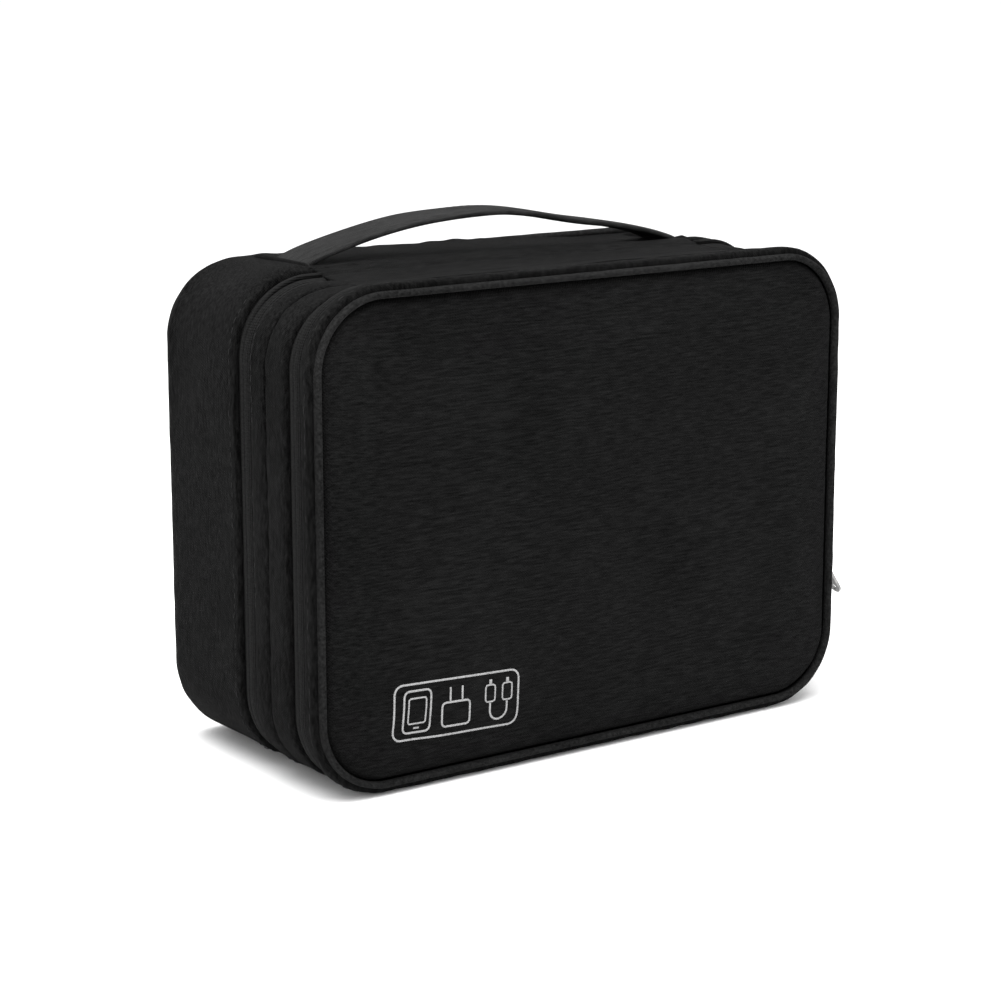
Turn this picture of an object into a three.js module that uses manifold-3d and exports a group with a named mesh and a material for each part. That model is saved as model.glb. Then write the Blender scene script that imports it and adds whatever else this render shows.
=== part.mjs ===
// A padded travel case for cables and chargers. Three sections are hinged along the top and
// zipped together down the left, bottom and right sides: a shallow front lid, a middle tray
// and a deep rear shell with two padded dividers. A fabric carry strap arches over the top.
// Millimetres, +Z up. X runs along the width and Y from front to back. The case stands on
// Z = 0, with the origin under its middle, just inside the rear shell's bottom wall.
import * as THREE from "three";
import { mergeVertices } from "three/addons/utils/BufferGeometryUtils.js";
import Module from "manifold-3d";

const wasm = await Module();
wasm.setup();

// The case's outline, seen from the front.
const WIDTH = 245;
const HEIGHT = 184.7;
const CORNER_RADIUS = 30;
const CORNER_STEPS = 3;
const TRAY_DROP = 3.2; // how much lower the tray's top is than the lid's and the shell's
const GAP = 0.3; // clearance between pieces that are sewn or pressed together

// Depths of the bands round the case, from the front edge to the back one.
const FRONT_Y = -57.75;
const PIPING_WIDTH = 4.5;
const LID_WALL_WIDTH = 5.5;
const ZIPPER_WIDTH = 11.2;
const TRAY_WALL_WIDTH = 14;
const TRAY_BAND_WIDTH = 10.3;
const BACK_Y = 54.5;

const lidWallY = FRONT_Y + PIPING_WIDTH + GAP;
const frontZipperY = lidWallY + LID_WALL_WIDTH;
const trayWallY = frontZipperY + ZIPPER_WIDTH;
const trayBandY = trayWallY + TRAY_WALL_WIDTH;
const rearZipperY = trayBandY + TRAY_BAND_WIDTH;
const shellY = rearZipperY + ZIPPER_WIDTH + GAP;
const rearPipingY = BACK_Y - PIPING_WIDTH;

// Thicknesses, and how far each layer sits inside the outline.
const WALL = 3;
const LINING = 1;
const FOAM = 2.4;
const PANEL_INSET = 4.6;
const PANEL_THICKNESS = 5;
const BOARD_THICKNESS = 3.5;
const MESH_THICKNESS = 0.8;
const PANEL_OVERHANG = 0.8; // how far the padded panels stand out past the piping
const PANEL_BEVEL = 2.2;
const PIPING_BEVEL = 1.2;
const BAND_BEVEL = 0.6;
const LAYER_MARGIN = 0.6; // foam and lining stop this much short of the panel's edge

// Net pockets and the elastic webbing that holds cables on the tray's board.
const POCKET_HALF_WIDTH = 100;
const HEM_WIDTH = 9;
const LID_POCKET = { bottom: 8, mouth: 108 };
const TRAY_POCKET = { bottom: 9, mouth: 112 };
const LOOP_HALF_LENGTH = 105;
const LOOP_WIDTH = 25;
const LOOP_THICKNESS = 2;
const LOOP_BEVEL = 0.5;
const LOOP_ROWS = { lower: 22, middle: 76, upper: 130 }; // height of each row's lower edge

// Zippers. Each tape ring is open along the top, between the two spine seams.
const SPINE_HALF_WIDTH = 88;
const SPINE_THICKNESS = 2;
const TAPE_INSET = 1.2;
const TAPE_THICKNESS = 1.5;
const COIL_WIDTH = 1.5;
const COIL_THICKNESS = 1.4;
const TAPE_HALF_GAP = 0.9;

// Sliders and their pull tabs. Each zipper has two, nose to nose on the right-hand side.
const SLIDER_LENGTH = 11;
const SLIDER_HALF_WIDTH = 4.2;
const SLIDER_PLATE = 1.2;
const NECK_HALF_WIDTH = 0.6;
const SLIDER_PITCH = 12;
const FRONT_SLIDER_Z = 56;
const REAR_SLIDER_Z = 104;
const BRIDGE_HALF_WIDTH = 1.1;
const BRIDGE_HALF_LENGTH = 4;
const BRIDGE_RISE = 3.4;
const BRIDGE_WIRE = 1;
const PULL_LENGTH = 21;
const PULL_HALF_WIDTH = 3;
const PULL_THICKNESS = 1.2;
const PULL_EYE_RADIUS = 1.7;
const PULL_BAR_HALF = 0.7;
const PULL_SLOT_PLAY = 0.5;
const FRONT_LOWER_LEAN = 34; // degrees each pull leans out from hanging straight down
const REAR_LOWER_LEAN = 4;
const UPPER_LEAN = 177;

// Carry strap, sewn into the top seams of the rear shell.
const STRAP_FRONT_Y = 5;
const STRAP_WIDTH = 23.5;
const STRAP_THICKNESS = 2.6;
const STRAP_HALF_SPAN = 87;
const STRAP_PEAK_Z = 200.5;
const STRAP_FREE_HALF_SPAN = 79;
const STRAP_STEPS = 16;
const STRAP_END_STEPS = 3;
const SEAM_RIDGE_WIDTH = 2.4;
const SEAM_RIDGE_RISE = 2.2;
const SEAM_RIDGE_END = 4; // distance from the seam ridge's back end to the rear piping

// Padded dividers in the rear shell.
const DIVIDER_THICKNESS = 6;
const DIVIDER_X = 38;
const DIVIDER_CLEARANCE = 1.2;
const DIVIDER_BEVEL = 1.4;

// ---------------------------------------------------------------- materials

function material(color, roughness, metalness = 0) {
  return new THREE.MeshStandardMaterial({ color, roughness, metalness });
}

const shellFabric = () => material(0x262626, 0.85);
const pipingFabric = () => material(0x303030, 0.75);
const tapeFabric = () => material(0x2b2b2b, 0.8);
const coilNylon = () => material(0x1a1a1a, 0.45);
const liningFabric = () => material(0x3b3b3d, 0.8);
const foam = () => material(0x55555a, 0.95);
const elastic = () => material(0x1f1f20, 0.7);
const mesh = () => material(0x29292b, 0.85);
const strapFabric = () => material(0x3a3a3a, 0.8);
const zinc = () => material(0x8c8c8e, 0.35, 1);

// ---------------------------------------------------------------- shape helpers

const root = new THREE.Group();

function addPart(name, geometry, partMaterial) {
  const part = new THREE.Mesh(geometry, partMaterial);
  part.name = name;
  root.add(part);
  return part;
}

// Half width, bottom, top and corner radius of the outline moved inwards by inset.
function insetOutline(inset, topDrop = 0) {
  return {
    half: WIDTH / 2 - inset,
    bottom: inset,
    top: HEIGHT - topDrop - inset,
    radius: CORNER_RADIUS - inset,
  };
}

function roundedRectangle(path, { half, bottom, top, radius }) {
  path.moveTo(half - radius, bottom);
  path.absarc(half - radius, bottom + radius, radius, -Math.PI / 2, 0, false);
  path.absarc(half - radius, top - radius, radius, 0, Math.PI / 2, false);
  path.absarc(-half + radius, top - radius, radius, Math.PI / 2, Math.PI, false);
  path.absarc(-half + radius, bottom + radius, radius, Math.PI, Math.PI * 1.5, false);
  path.closePath();
  return path;
}

function rectangle(x0, x1, z0, z1) {
  const shape = new THREE.Shape();
  shape.moveTo(x0, z0);
  shape.lineTo(x1, z0);
  shape.lineTo(x1, z1);
  shape.lineTo(x0, z1);
  shape.closePath();
  return shape;
}

// Extrudes a shape drawn in X and Z from front to back, with its edges bevelled inwards.
function extrudeAlongY(shape, front, back, bevel = 0) {
  const geometry = new THREE.ExtrudeGeometry(shape, {
    depth: back - front - 2 * bevel,
    curveSegments: CORNER_STEPS,
    bevelEnabled: bevel > 0,
    bevelThickness: bevel,
    bevelSize: bevel,
    bevelOffset: -bevel,
    bevelSegments: 1,
  });
  geometry.rotateX(Math.PI / 2);
  geometry.translate(0, back - bevel, 0);
  return geometry;
}

function plate(inset, front, back, bevel = 0, topDrop = 0) {
  const shape = roundedRectangle(new THREE.Shape(), insetOutline(inset, topDrop));
  return extrudeAlongY(shape, front, back, bevel);
}

function ring(inset, thickness, front, back, bevel = 0, topDrop = 0) {
  const shape = roundedRectangle(new THREE.Shape(), insetOutline(inset, topDrop));
  const inner = insetOutline(inset + thickness, topDrop);
  shape.holes.push(roundedRectangle(new THREE.Path(), inner));
  return extrudeAlongY(shape, front, back, bevel);
}

// The arc of an outline's corner; sideX and sideZ are -1 or 1 and say which corner it is.
function corner(path, outline, sideX, sideZ, from, to) {
  const x = sideX * (outline.half - outline.radius);
  const z = sideZ > 0 ? outline.top - outline.radius : outline.bottom + outline.radius;
  path.absarc(x, z, outline.radius, from, to, to < from);
}

// A strip round the left, bottom and right sides, whose ends meet the spine seams on top.
function openRing(inset, thickness, front, back) {
  const outer = insetOutline(inset);
  const inner = insetOutline(inset + thickness);
  const shape = new THREE.Shape();
  const quarter = Math.PI / 2;
  shape.moveTo(-SPINE_HALF_WIDTH, outer.top);
  corner(shape, outer, -1, 1, quarter, 2 * quarter);
  corner(shape, outer, -1, -1, 2 * quarter, 3 * quarter);
  corner(shape, outer, 1, -1, -quarter, 0);
  corner(shape, outer, 1, 1, 0, quarter);
  shape.lineTo(SPINE_HALF_WIDTH, outer.top);
  shape.lineTo(SPINE_HALF_WIDTH, inner.top);
  corner(shape, inner, 1, 1, quarter, 0);
  corner(shape, inner, 1, -1, 0, -quarter);
  corner(shape, inner, -1, -1, 3 * quarter, 2 * quarter);
  corner(shape, inner, -1, 1, 2 * quarter, quarter);
  shape.lineTo(-SPINE_HALF_WIDTH, inner.top);
  shape.closePath();
  return extrudeAlongY(shape, front, back);
}

function block(x0, x1, y0, y1, z0, z1) {
  const geometry = new THREE.BoxGeometry(x1 - x0, y1 - y0, z1 - z0);
  geometry.translate((x0 + x1) / 2, (y0 + y1) / 2, (z0 + z1) / 2);
  return geometry;
}

function toManifold(geometry) {
  const bare = geometry.clone();
  bare.deleteAttribute("normal");
  bare.deleteAttribute("uv");
  const merged = mergeVertices(bare, 1e-4);
  const vertProperties = new Float32Array(merged.attributes.position.array);
  const triVerts = new Uint32Array(merged.index.array);
  return new wasm.Manifold(new wasm.Mesh({ numProp: 3, vertProperties, triVerts }));
}

function fromManifold(solid) {
  const { vertProperties, triVerts } = solid.getMesh();
  const geometry = new THREE.BufferGeometry();
  geometry.setAttribute("position", new THREE.BufferAttribute(vertProperties, 3));
  geometry.setIndex(new THREE.BufferAttribute(triVerts, 1));
  geometry.computeVertexNormals();
  return geometry;
}

function join(...geometries) {
  return fromManifold(geometries.map(toManifold).reduce((whole, next) => whole.add(next)));
}

// ---------------------------------------------------------------- zippers

// The two tapes of one zipper and their coils, which sit on the inner face of the tapes.
function addZipper(name, startY, frontOwner, backOwner) {
  const centre = startY + ZIPPER_WIDTH / 2;
  const coilInset = TAPE_INSET + TAPE_THICKNESS + GAP;
  const halves = [
    { owner: frontOwner, outer: startY + GAP, meeting: centre - TAPE_HALF_GAP, side: -1 },
    { owner: backOwner, outer: startY + ZIPPER_WIDTH, meeting: centre + TAPE_HALF_GAP, side: 1 },
  ];
  for (const { owner, outer, meeting, side } of halves) {
    const tapeY = [outer, meeting].sort((a, b) => a - b);
    const coilY = [meeting, meeting + side * COIL_WIDTH].sort((a, b) => a - b);
    const tape = openRing(TAPE_INSET, TAPE_THICKNESS, ...tapeY);
    const coil = openRing(coilInset, COIL_THICKNESS, ...coilY);
    addPart(`${name}_tape_${owner}_side`, tape, tapeFabric());
    addPart(`${name}_coil_${owner}_side`, coil, coilNylon());
  }
}

// A slider: two plates joined by a neck that runs in the gap between the tapes, and a
// bridge on the outer plate that the pull hangs from.
function sliderGeometry() {
  const outerX = WIDTH / 2 - TAPE_INSET + GAP;
  const innerX = WIDTH / 2 - TAPE_INSET - TAPE_THICKNESS - COIL_THICKNESS - 2 * GAP;
  const halfLength = SLIDER_LENGTH / 2;
  const w = SLIDER_HALF_WIDTH;
  const outerPlate = block(outerX, outerX + SLIDER_PLATE, -w, w, -halfLength, halfLength);
  const innerPlate = block(innerX - SLIDER_PLATE, innerX, -w, w, -halfLength, halfLength);
  const neck = block(
    innerX - SLIDER_PLATE / 2, outerX + SLIDER_PLATE / 2,
    -NECK_HALF_WIDTH, NECK_HALF_WIDTH, -halfLength, halfLength,
  );
  const top = outerX + SLIDER_PLATE + BRIDGE_RISE;
  const bridge = new THREE.Shape();
  bridge.moveTo(outerX, -BRIDGE_HALF_LENGTH);
  bridge.lineTo(top - BRIDGE_WIRE, -BRIDGE_HALF_LENGTH);
  bridge.lineTo(top, -BRIDGE_HALF_LENGTH + BRIDGE_WIRE);
  bridge.lineTo(top, BRIDGE_HALF_LENGTH - BRIDGE_WIRE);
  bridge.lineTo(top - BRIDGE_WIRE, BRIDGE_HALF_LENGTH);
  bridge.lineTo(outerX, BRIDGE_HALF_LENGTH);
  bridge.closePath();
  const openingX = outerX + SLIDER_PLATE;
  const openingHalf = BRIDGE_HALF_LENGTH - BRIDGE_WIRE;
  const opening = new THREE.Path();
  opening.moveTo(openingX, -openingHalf);
  opening.lineTo(top - BRIDGE_WIRE, -openingHalf);
  opening.lineTo(top - BRIDGE_WIRE, openingHalf);
  opening.lineTo(openingX, openingHalf);
  opening.closePath();
  bridge.holes.push(opening);
  const bridgeBody = extrudeAlongY(bridge, -BRIDGE_HALF_WIDTH, BRIDGE_HALF_WIDTH);
  return join(outerPlate, innerPlate, neck, bridgeBody);
}

// A pull tab, hanging down from the pivot at the origin. Its top bar lies along Y under the
// slider's bridge, and its two arms pass either side of the bridge.
function pullGeometry() {
  const slotHalf = BRIDGE_HALF_WIDTH + PULL_SLOT_PLAY;
  const slotLength = BRIDGE_HALF_LENGTH + 1.6;
  const w = PULL_HALF_WIDTH;
  const tab = new THREE.Shape();
  tab.moveTo(-w, PULL_BAR_HALF);
  tab.lineTo(-w, -PULL_LENGTH + w);
  tab.absarc(0, -PULL_LENGTH + w, w, Math.PI, 2 * Math.PI, false);
  tab.lineTo(w, PULL_BAR_HALF);
  tab.closePath();
  const slot = new THREE.Path();
  slot.moveTo(-slotHalf, -PULL_BAR_HALF);
  slot.lineTo(slotHalf, -PULL_BAR_HALF);
  slot.lineTo(slotHalf, -slotLength);
  slot.lineTo(-slotHalf, -slotLength);
  slot.closePath();
  const eye = new THREE.Path();
  eye.absarc(0, -PULL_LENGTH + w, PULL_EYE_RADIUS, 0, 2 * Math.PI, false);
  tab.holes.push(slot, eye);
  const geometry = extrudeAlongY(tab, -PULL_THICKNESS / 2, PULL_THICKNESS / 2);
  geometry.rotateZ(Math.PI / 2);
  return geometry;
}

// Two sliders on one zipper, with their pulls pointing away from each other.
function addSliders(zipper, startY, lowerZ, lowerLean) {
  const y = startY + ZIPPER_WIDTH / 2;
  const pivotX = WIDTH / 2 - TAPE_INSET + GAP + SLIDER_PLATE + (BRIDGE_RISE - BRIDGE_WIRE) / 2;
  const sliders = [
    { level: "lower", z: lowerZ, lean: lowerLean },
    { level: "upper", z: lowerZ + SLIDER_PITCH, lean: UPPER_LEAN },
  ];
  for (const { level, z, lean } of sliders) {
    const slider = addPart(`${zipper}_${level}_slider`, sliderGeometry(), zinc());
    slider.position.set(0, y, z);
    const pull = addPart(`${zipper}_${level}_pull`, pullGeometry(), zinc());
    pull.position.set(pivotX, y, z);
    pull.rotation.y = THREE.MathUtils.degToRad(-lean);
  }
}

// ---------------------------------------------------------------- spine

// The fabric hinge along the top, as one strip on each side of the fold line.
function addSpine(name, startY, frontOwner, frontDrop, backOwner, backDrop) {
  const centre = startY + ZIPPER_WIDTH / 2;
  const half = SPINE_HALF_WIDTH - GAP;
  const top = HEIGHT - TAPE_INSET;
  const strips = [
    [frontOwner, startY + GAP, centre - TAPE_HALF_GAP, top - frontDrop],
    [backOwner, centre + TAPE_HALF_GAP, startY + ZIPPER_WIDTH, top - backDrop],
  ];
  for (const [owner, y0, y1, z1] of strips) {
    const strip = block(-half, half, y0, y1, z1 - SPINE_THICKNESS, z1);
    addPart(`${name}_${owner}_side`, strip, shellFabric());
  }
}

// ---------------------------------------------------------------- front lid

const layerInset = PANEL_INSET + LAYER_MARGIN;

// The corded edge between a padded panel and the side wall behind it.
function pipingRing(front, back) {
  return ring(GAP, PANEL_INSET - 2 * GAP, front, back, PIPING_BEVEL);
}

function addFrontLid() {
  const panelBack = FRONT_Y + PANEL_THICKNESS - PANEL_OVERHANG;
  const foamBack = panelBack + GAP + FOAM;
  const liningBack = foamBack + GAP + LINING;
  const panel = plate(PANEL_INSET, panelBack - PANEL_THICKNESS, panelBack, PANEL_BEVEL);
  addPart("front_panel", panel, shellFabric());
  addPart("front_piping", pipingRing(FRONT_Y, FRONT_Y + PIPING_WIDTH), pipingFabric());
  addPart("front_foam", plate(layerInset, panelBack + GAP, foamBack), foam());
  addPart("front_lining", plate(layerInset, foamBack + GAP, liningBack), liningFabric());
  const wall = ring(0, WALL, lidWallY, frontZipperY, BAND_BEVEL);
  addPart("lid_side_wall", wall, shellFabric());
  addPocket("lid_pocket", liningBack + GAP, LID_POCKET);
}

// A flat mesh pocket with an elastic hem along its mouth. front is the Y of its front face.
function addPocket(name, front, { bottom, mouth }) {
  const w = POCKET_HALF_WIDTH;
  const back = front + MESH_THICKNESS;
  const net = rectangle(-w, w, bottom, mouth - HEM_WIDTH - GAP);
  const hem = rectangle(-w, w, mouth - HEM_WIDTH, mouth);
  addPart(`${name}_net`, extrudeAlongY(net, front, back), mesh());
  addPart(`${name}_elastic_hem`, extrudeAlongY(hem, front, back), elastic());
}

// ---------------------------------------------------------------- middle tray

function addTray() {
  const boardBack = rearZipperY - 1.5;
  const boardFront = boardBack - BOARD_THICKNESS;
  const wall = ring(2 * GAP, WALL, trayWallY + GAP, trayBandY, BAND_BEVEL, TRAY_DROP);
  const band = ring(GAP, WALL, trayBandY + GAP, rearZipperY, BAND_BEVEL, TRAY_DROP);
  const board = plate(WALL + 3 * GAP, boardFront, boardBack, BAND_BEVEL, TRAY_DROP);
  addPart("tray_wall", wall, shellFabric());
  addPart("tray_rear_band", band, shellFabric());
  addPart("tray_back_board", board, liningFabric());
  addLoopRows(boardFront - GAP);
  addPocket("tray_rear_pocket", boardBack + GAP, TRAY_POCKET);
}

// Rows of elastic webbing, sewn down in loops that hold rolled cables on the tray's board.
function addLoopRows(back) {
  for (const [level, z] of Object.entries(LOOP_ROWS)) {
    const strip = rectangle(-LOOP_HALF_LENGTH, LOOP_HALF_LENGTH, z, z + LOOP_WIDTH);
    const webbing = extrudeAlongY(strip, back - LOOP_THICKNESS, back, LOOP_BEVEL);
    addPart(`tray_loop_row_${level}`, webbing, elastic());
  }
}

// ---------------------------------------------------------------- rear shell

function addRearShell() {
  const panelFront = BACK_Y - PANEL_THICKNESS + PANEL_OVERHANG;
  const foamFront = panelFront - GAP - FOAM;
  const liningFront = foamFront - GAP - LINING;
  const panelBack = panelFront + PANEL_THICKNESS;
  addPart("rear_side_wall", ring(0, WALL, shellY, rearPipingY - GAP), shellFabric());
  addPart("rear_piping", pipingRing(rearPipingY, BACK_Y), pipingFabric());
  addPart("rear_panel", plate(PANEL_INSET, panelFront, panelBack, PANEL_BEVEL), shellFabric());
  addPart("rear_foam", plate(layerInset, foamFront, panelFront - GAP), foam());
  addPart("rear_lining", plate(layerInset, liningFront, foamFront - GAP), liningFabric());
  const wallLining = ring(WALL + GAP, LINING, shellY + 1, liningFront - GAP);
  addPart("wall_lining", wallLining, liningFabric());
  addDividers(shellY + 3, liningFront - 2);
}

// Padded dividers, held to the shell's lining by hook-and-loop edges.
function addDividers(front, back) {
  const inset = WALL + GAP + LINING + DIVIDER_CLEARANCE;
  for (const [side, x] of [["left", -DIVIDER_X], ["right", DIVIDER_X]]) {
    const half = DIVIDER_THICKNESS / 2;
    const board = rectangle(x - half, x + half, inset, HEIGHT - inset);
    addPart(`divider_${side}`, extrudeAlongY(board, front, back, DIVIDER_BEVEL), liningFabric());
  }
}

// ---------------------------------------------------------------- carry strap

// Height of the strap's middle line above the floor, x from the case's middle. The arch is
// flat near its peak and comes down to the wall at its ends.
function strapHeight(x) {
  const foot = HEIGHT + STRAP_THICKNESS / 2 + GAP;
  const peak = STRAP_PEAK_Z - STRAP_THICKNESS / 2;
  const u = x / STRAP_HALF_SPAN;
  return foot + (peak - foot) * (1 - u * u) ** 0.75;
}

function strapPiece(x0, x1, steps) {
  const half = STRAP_THICKNESS / 2;
  const xs = Array.from({ length: steps + 1 }, (_, i) => x0 + ((x1 - x0) * i) / steps);
  const lower = xs.map((x) => new THREE.Vector2(x, strapHeight(x) - half));
  const upper = xs.map((x) => new THREE.Vector2(x, strapHeight(x) + half)).reverse();
  const shape = new THREE.Shape([...lower, ...upper]);
  return extrudeAlongY(shape, STRAP_FRONT_Y, STRAP_FRONT_Y + STRAP_WIDTH);
}

function addStrap() {
  const cut = STRAP_FREE_HALF_SPAN + GAP;
  const arch = strapPiece(-STRAP_FREE_HALF_SPAN, STRAP_FREE_HALF_SPAN, STRAP_STEPS);
  addPart("carry_strap", arch, strapFabric());
  addPart("strap_end_left", strapPiece(-STRAP_HALF_SPAN, -cut, STRAP_END_STEPS), strapFabric());
  addPart("strap_end_right", strapPiece(cut, STRAP_HALF_SPAN, STRAP_END_STEPS), strapFabric());
  const ridgeFoot = HEIGHT + GAP;
  for (const [side, sign] of [["left", -1], ["right", 1]]) {
    const inner = sign * (STRAP_HALF_SPAN + GAP);
    const outer = sign * (STRAP_HALF_SPAN + GAP + SEAM_RIDGE_WIDTH);
    const x = [inner, outer].sort((a, b) => a - b);
    const y = [STRAP_FRONT_Y, rearPipingY - SEAM_RIDGE_END];
    const ridge = block(...x, ...y, ridgeFoot, ridgeFoot + SEAM_RIDGE_RISE);
    addPart(`strap_seam_${side}`, ridge, shellFabric());
  }
}

// ---------------------------------------------------------------- the case

addFrontLid();
addSpine("front_spine", frontZipperY, "lid", 0, "tray", TRAY_DROP);
addZipper("front_zipper", frontZipperY, "lid", "tray");
addSliders("front_zipper", frontZipperY, FRONT_SLIDER_Z, FRONT_LOWER_LEAN);
addTray();
addSpine("rear_spine", rearZipperY, "tray", TRAY_DROP, "shell", 0);
addZipper("rear_zipper", rearZipperY, "tray", "shell");
addSliders("rear_zipper", rearZipperY, REAR_SLIDER_Z, REAR_LOWER_LEAN);
addRearShell();
addStrap();

export default root;
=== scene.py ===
"""Blender scene for the cable case: soft panels, piping, zippers, spine, strap and lining
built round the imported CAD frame. Sizes in this file are millimetres until a mesh is made."""

import math

import bmesh
import bpy
import numpy as np
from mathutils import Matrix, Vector


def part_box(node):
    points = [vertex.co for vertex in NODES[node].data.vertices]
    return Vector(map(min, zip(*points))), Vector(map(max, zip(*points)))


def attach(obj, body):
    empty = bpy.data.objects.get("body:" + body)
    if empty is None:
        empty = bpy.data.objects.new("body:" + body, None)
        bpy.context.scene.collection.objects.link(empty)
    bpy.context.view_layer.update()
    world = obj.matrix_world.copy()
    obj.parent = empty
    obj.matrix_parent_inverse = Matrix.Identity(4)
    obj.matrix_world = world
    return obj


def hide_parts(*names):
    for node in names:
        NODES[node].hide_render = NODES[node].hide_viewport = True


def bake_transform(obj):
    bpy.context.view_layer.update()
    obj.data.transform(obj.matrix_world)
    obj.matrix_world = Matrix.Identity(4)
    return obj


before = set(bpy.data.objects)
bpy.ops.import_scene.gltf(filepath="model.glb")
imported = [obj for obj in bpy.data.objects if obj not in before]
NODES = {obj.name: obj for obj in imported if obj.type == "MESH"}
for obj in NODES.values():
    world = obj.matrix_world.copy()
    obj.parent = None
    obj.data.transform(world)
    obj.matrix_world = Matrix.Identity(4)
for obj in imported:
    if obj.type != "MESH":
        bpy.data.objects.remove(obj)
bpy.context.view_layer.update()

MM = 0.001


def box_mm(node):
    """A node's low corner and high corner."""
    low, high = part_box(node)
    return [v / MM for v in low], [v / MM for v in high]


def depth_span(node):
    """Where a node begins and where it ends along Y."""
    low, high = box_mm(node)
    return low[1], high[1]


# ---- sizes read from the frame

WALL_LOW, WALL_HIGH = box_mm("rear_side_wall")
WIDTH = WALL_HIGH[0] - WALL_LOW[0]
HEIGHT = WALL_HIGH[2] - WALL_LOW[2]
CORNER_RADIUS = 30.0  # of the outline seen from the front, as in the CAD
TRAY_SWELL = 0.6  # how far the tray's cloth stands above its CAD wall
TRAY_DROP = HEIGHT - box_mm("tray_wall")[1][2] - TRAY_SWELL

PIPING_BACK = depth_span("front_piping")[1]
LID_WALL_FRONT, LID_WALL_BACK = depth_span("lid_side_wall")
TRAY_WALL_FRONT, TRAY_WALL_BACK = depth_span("tray_wall")
BAND_FRONT, BAND_BACK = depth_span("tray_rear_band")
SHELL_FRONT, SHELL_BACK = depth_span("rear_side_wall")
REAR_PIPING_FRONT = depth_span("rear_piping")[0]
FRONT_ZIPPER_Y = (LID_WALL_BACK + TRAY_WALL_FRONT) / 2
REAR_ZIPPER_Y = (BAND_BACK + SHELL_FRONT) / 2
SPINE_HALF = box_mm("front_spine_lid_side")[1][0] + 0.3
TRAY_MIDDLE = TRAY_WALL_BACK - 0.75  # where the two spine strips meet

PANEL_INSET = WALL_HIGH[0] - box_mm("front_panel")[1][0]
VALLEY = 2.0  # how far the seams between bands lie below the bands
FABRIC = 0.9  # thickness of a single fabric layer with its backing
BAND_STEP = 2.2  # between the rows of points round the outline


# ---- smooth random relief

RNG = np.random.default_rng(7)


def make_ripple(wavelength, waves=9):
    """A smooth function of position that wanders between about -1 and 1."""
    directions = RNG.normal(size=(waves, 3))
    directions /= np.linalg.norm(directions, axis=1)[:, None]
    lengths = wavelength * RNG.uniform(0.7, 1.6, waves)
    phases = RNG.uniform(0, 2 * math.pi, waves)

    def ripple(points):
        angles = np.asarray(points) @ (directions / lengths[:, None]).T * 2 * math.pi + phases
        return np.sin(angles).sum(axis=-1) / math.sqrt(waves)

    return ripple


SOFT_WAVE = make_ripple(95)
CLOTH_WAVE = make_ripple(34)
PUCKER_WAVE = make_ripple(11)


def smooth(value, low, high):
    """0 below low, 1 above high, an even slope between."""
    t = np.clip((np.asarray(value, float) - low) / (high - low), 0, 1)
    return t * t * (3 - 2 * t)


def unit(vectors):
    return vectors / np.maximum(np.linalg.norm(vectors, axis=1), 1e-9)[:, None]


def full_turn(count):
    """Evenly spaced angles, once round."""
    return np.linspace(0, 2 * math.pi, count, endpoint=False)


def travel(points):
    """The distance travelled along a line at each of its points."""
    return np.concatenate([[0], np.cumsum(np.linalg.norm(np.diff(points, axis=0), axis=1))])


def sample_line(values, travelled, places):
    """Values read off at places along a line that has them at the distances travelled."""
    return np.column_stack([np.interp(places, travelled, column) for column in np.transpose(values)])


# ---- the case's outline

QUARTER = CORNER_RADIUS * math.pi / 2
HALF_TOP = WIDTH / 2 - CORNER_RADIUS
SIDE = HEIGHT - 2 * CORNER_RADIUS
PERIMETER = 4 * HALF_TOP + 2 * SIDE + 4 * QUARTER


def outline(distance):
    """Points and outward normals on the outline, by distance from the top middle, going left.
    The walk round it goes straight and round a corner in turn; angle is where its normal points."""
    s = np.mod(np.asarray(distance, float), PERIMETER)
    points, normals = np.zeros((len(s), 2)), np.zeros((len(s), 2))
    place, angle, start = np.array([0.0, HEIGHT]), math.pi / 2, 0.0
    lengths = [HALF_TOP, QUARTER, SIDE, QUARTER, 2 * HALF_TOP, QUARTER, SIDE, QUARTER, HALF_TOP]
    for number, length in enumerate(lengths):
        inside = (s >= start - 1e-9) & (s <= start + length + 1e-9)
        along = np.append(s[inside] - start, length)[:, None]
        outward = np.array([[math.cos(angle), math.sin(angle)]])
        if number % 2:
            turned = angle + along / CORNER_RADIUS
            normal = np.hstack([np.cos(turned), np.sin(turned)])
            walked = place + CORNER_RADIUS * (normal - outward)
            angle += math.pi / 2
        else:
            normal = np.repeat(outward, len(along), axis=0)
            walked = place + along * (-math.sin(angle), math.cos(angle))
        points[inside], normals[inside] = walked[:-1], normal[:-1]
        place = walked[-1]
        start += length
    return points, normals


def steps(start, end, step):
    """Evenly spaced distances from start to end, about a step apart."""
    count = max(2, int(round((end - start) / step)))
    return np.linspace(start, end, count + 1)


# ---- mesh helpers

def add_mesh(name, points, faces, material, mend_normals=True):
    mesh = bpy.data.meshes.new(name)
    mesh.from_pydata((np.asarray(points, float) * MM).tolist(), [], [list(f) for f in faces])
    if mend_normals:
        work = bmesh.new()
        work.from_mesh(mesh)
        bmesh.ops.recalc_face_normals(work, faces=work.faces)
        work.to_mesh(mesh)
        work.free()
    mesh.shade_smooth()
    mesh.materials.append(material)
    piece = bpy.data.objects.new(name, mesh)
    bpy.context.scene.collection.objects.link(piece)
    return piece


def fit(piece, body, nodes):
    """Ties a piece to its body and hides the CAD nodes that it stands for."""
    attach(piece, body)
    if nodes:
        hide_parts(*nodes)
    return piece


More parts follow.
